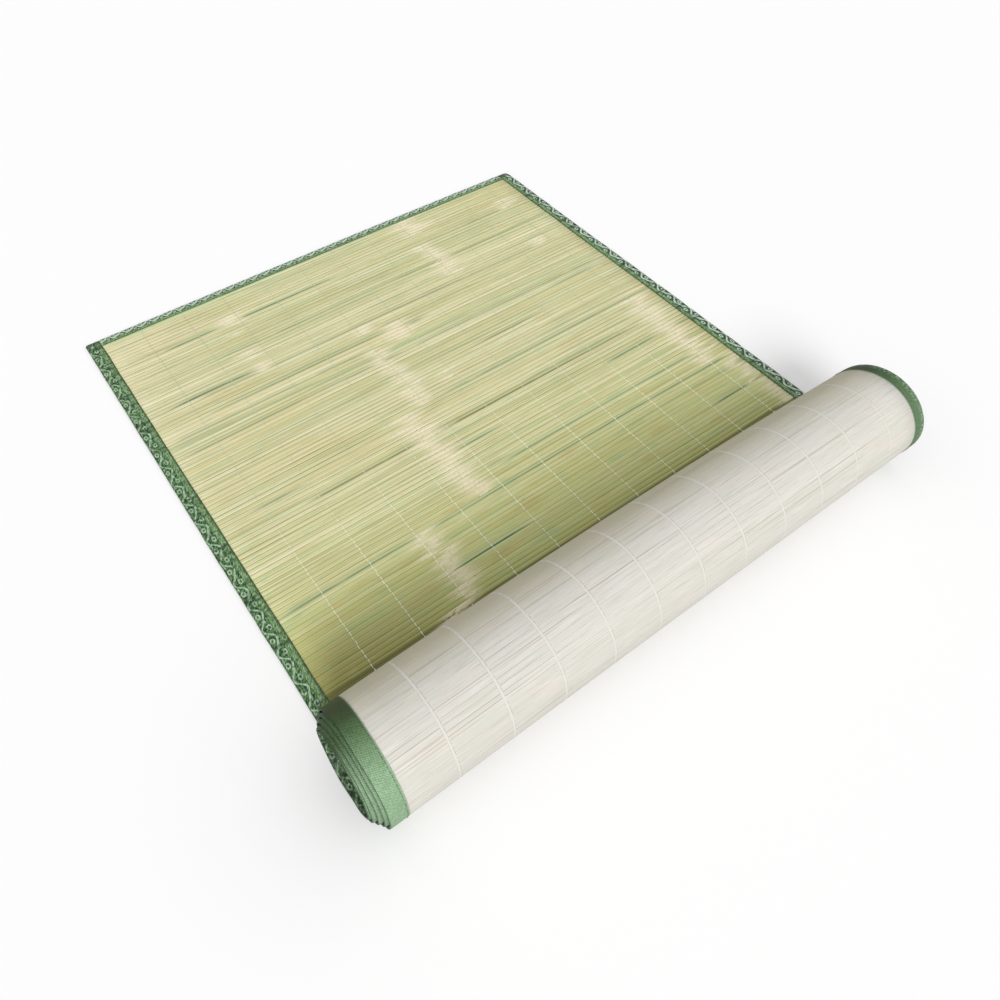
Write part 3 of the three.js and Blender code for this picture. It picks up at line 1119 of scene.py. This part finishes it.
rings, lie = back_bands()
back_strings = make_piece("back_bands", rings, string, {"lie": lie})

# %% [markdown]
# ## The seams
#
# The side bindings are sewn on with a row of short stitches near their inner edge, in green thread
# that hardly shows. These are the same low arches, and lie on the cloth on both sides of the mat.

# %% Seams
SEAM_INSET = 1.7 * MM
STITCH_PITCH = 3.4 * MM
SEAM_RADIUS = 0.16 * MM
TWIST_PITCH = 0.4 * MM
SEAM_ARCH = np.array([(-0.4, 0.85), (-0.25, 1.06), (0.25, 1.06), (0.4, 0.85)])


def seam_finish():
    f = Finish("seam_thread")
    x, y, _ = f.mark("lie")
    twist = f.sum("SINE", f.times(f.sum("ADD", x, y), 2 * math.pi / TWIST_PITCH))
    tone = f.mix(f.line(twist, 0.5, 0.5), (70, 98, 68), (104, 132, 96))
    f.surface({"Base Color": tone, "Roughness": 0.6})
    f.bump(twist, 0.05 * MM, 0.6)
    return f.material


def seam_rings():
    rows = []
    along = np.arange(3 * MM, LENGTH - 3 * MM, STITCH_PITCH)
    room = np.full(along.size, STITCH_PITCH)
    for across in (BINDING_WIDTH["left"] - SEAM_INSET, WIDTH - BINDING_WIDTH["right"] + SEAM_INSET):
        for face in (1, -1):
            arch = SEAM_ARCH * (1, face)
            rows.append(stitches(np.full(along.size, across), along, room, arch, SEAM_RADIUS))
    return np.concatenate(rows)


rings = seam_rings()
seams = make_piece("seam_stitches", rings, seam_finish(), {"lie": rings})

# %% [markdown]
# ## Floor and light
#
# The mat lies on a plain pale floor. It is nearly white to the camera, and a little greyer in the
# light that it throws back onto the mat.

# %% Floor
FLOOR_SIZE = 14
FLOOR_GAP = 0.1 * MM
FLOOR_LIT, FLOOR_SEEN = (205, 205, 203), (252, 252, 252)

floor_finish = Finish("floor")
seen_or_lit = floor_finish.nodes.new("ShaderNodeLightPath").outputs["Is Camera Ray"]
floor_colour = floor_finish.mix(seen_or_lit, FLOOR_LIT, FLOOR_SEEN)
floor_finish.surface({"Base Color": floor_colour, "Roughness": 0.9, "Specular IOR Level": 0.1})
bpy.ops.mesh.primitive_plane_add(size=FLOOR_SIZE, location=(0, 0, floor_z - FLOOR_GAP))
floor = bpy.context.object
floor.name = "floor"
floor.data.materials.append(floor_finish.material)

# %% [markdown]
# One wide soft lamp stands in front and to the left, thirty-five degrees up, so the roll is
# brightest on its front and throws a soft shade onto the mat behind it.

# %% Lamp
KEY_AZIMUTH, KEY_ELEVATION = math.radians(-28), math.radians(35)
KEY_POWER, KEY_WIDTH = 1.75, math.radians(24)

key = bpy.data.lights.new("key", "SUN")
key.energy = KEY_POWER
key.angle = KEY_WIDTH
key_lamp = add_object("key", key)
towards = mathutils.Vector(direction(KEY_AZIMUTH, KEY_ELEVATION))
key_lamp.rotation_euler = towards.to_track_quat("Z", "Y").to_euler()
key_lamp.location = towards * 2

# %% [markdown]
# A pale sky fills the rest, brighter in front of the mat than behind it. Past the floor the camera
# sees a plain near-white instead, which lights nothing.

# %% Sky
SKY_TOWARDS = direction(math.radians(-15), math.radians(12))
SKY_FRONT, SKY_BACK, SKY_TURN = 0.8, 0.52, (-0.6, 0.5)
WHITE, NEAR_WHITE = (1.0, 1.0, 1.0, 1.0), (0.97, 0.97, 0.97, 1.0)

world = bpy.data.worlds.new("studio")
bpy.context.scene.world = world
sky_formula = Formula(world)
nodes, link = sky_formula.nodes, sky_formula.links.new
ray = nodes.new("ShaderNodeTexCoord")
facing = nodes.new("ShaderNodeVectorMath")
facing.operation = "DOT_PRODUCT"
facing.inputs[1].default_value = SKY_TOWARDS
link(ray.outputs["Generated"], facing.inputs[0])
sky = nodes["Background"]
sky.inputs["Color"].default_value = WHITE
brightness = sky_formula.step(facing.outputs["Value"], *SKY_TURN, SKY_BACK, SKY_FRONT)
link(brightness, sky.inputs["Strength"])
seen = nodes.new("ShaderNodeBackground")
seen.inputs["Color"].default_value = NEAR_WHITE
rays = nodes.new("ShaderNodeLightPath")
either = nodes.new("ShaderNodeMixShader")
sources = (rays.outputs["Is Camera Ray"], sky.outputs[0], seen.outputs[0])
for source, socket in zip(sources, either.inputs):
    link(source, socket)
link(either.outputs[0], nodes["World Output"].inputs["Surface"])
bpy.context.scene.view_settings.view_transform = "Standard"
print("lamp at", round(math.degrees(KEY_ELEVATION)), "degrees; sky from", SKY_BACK, "to", SKY_FRONT)
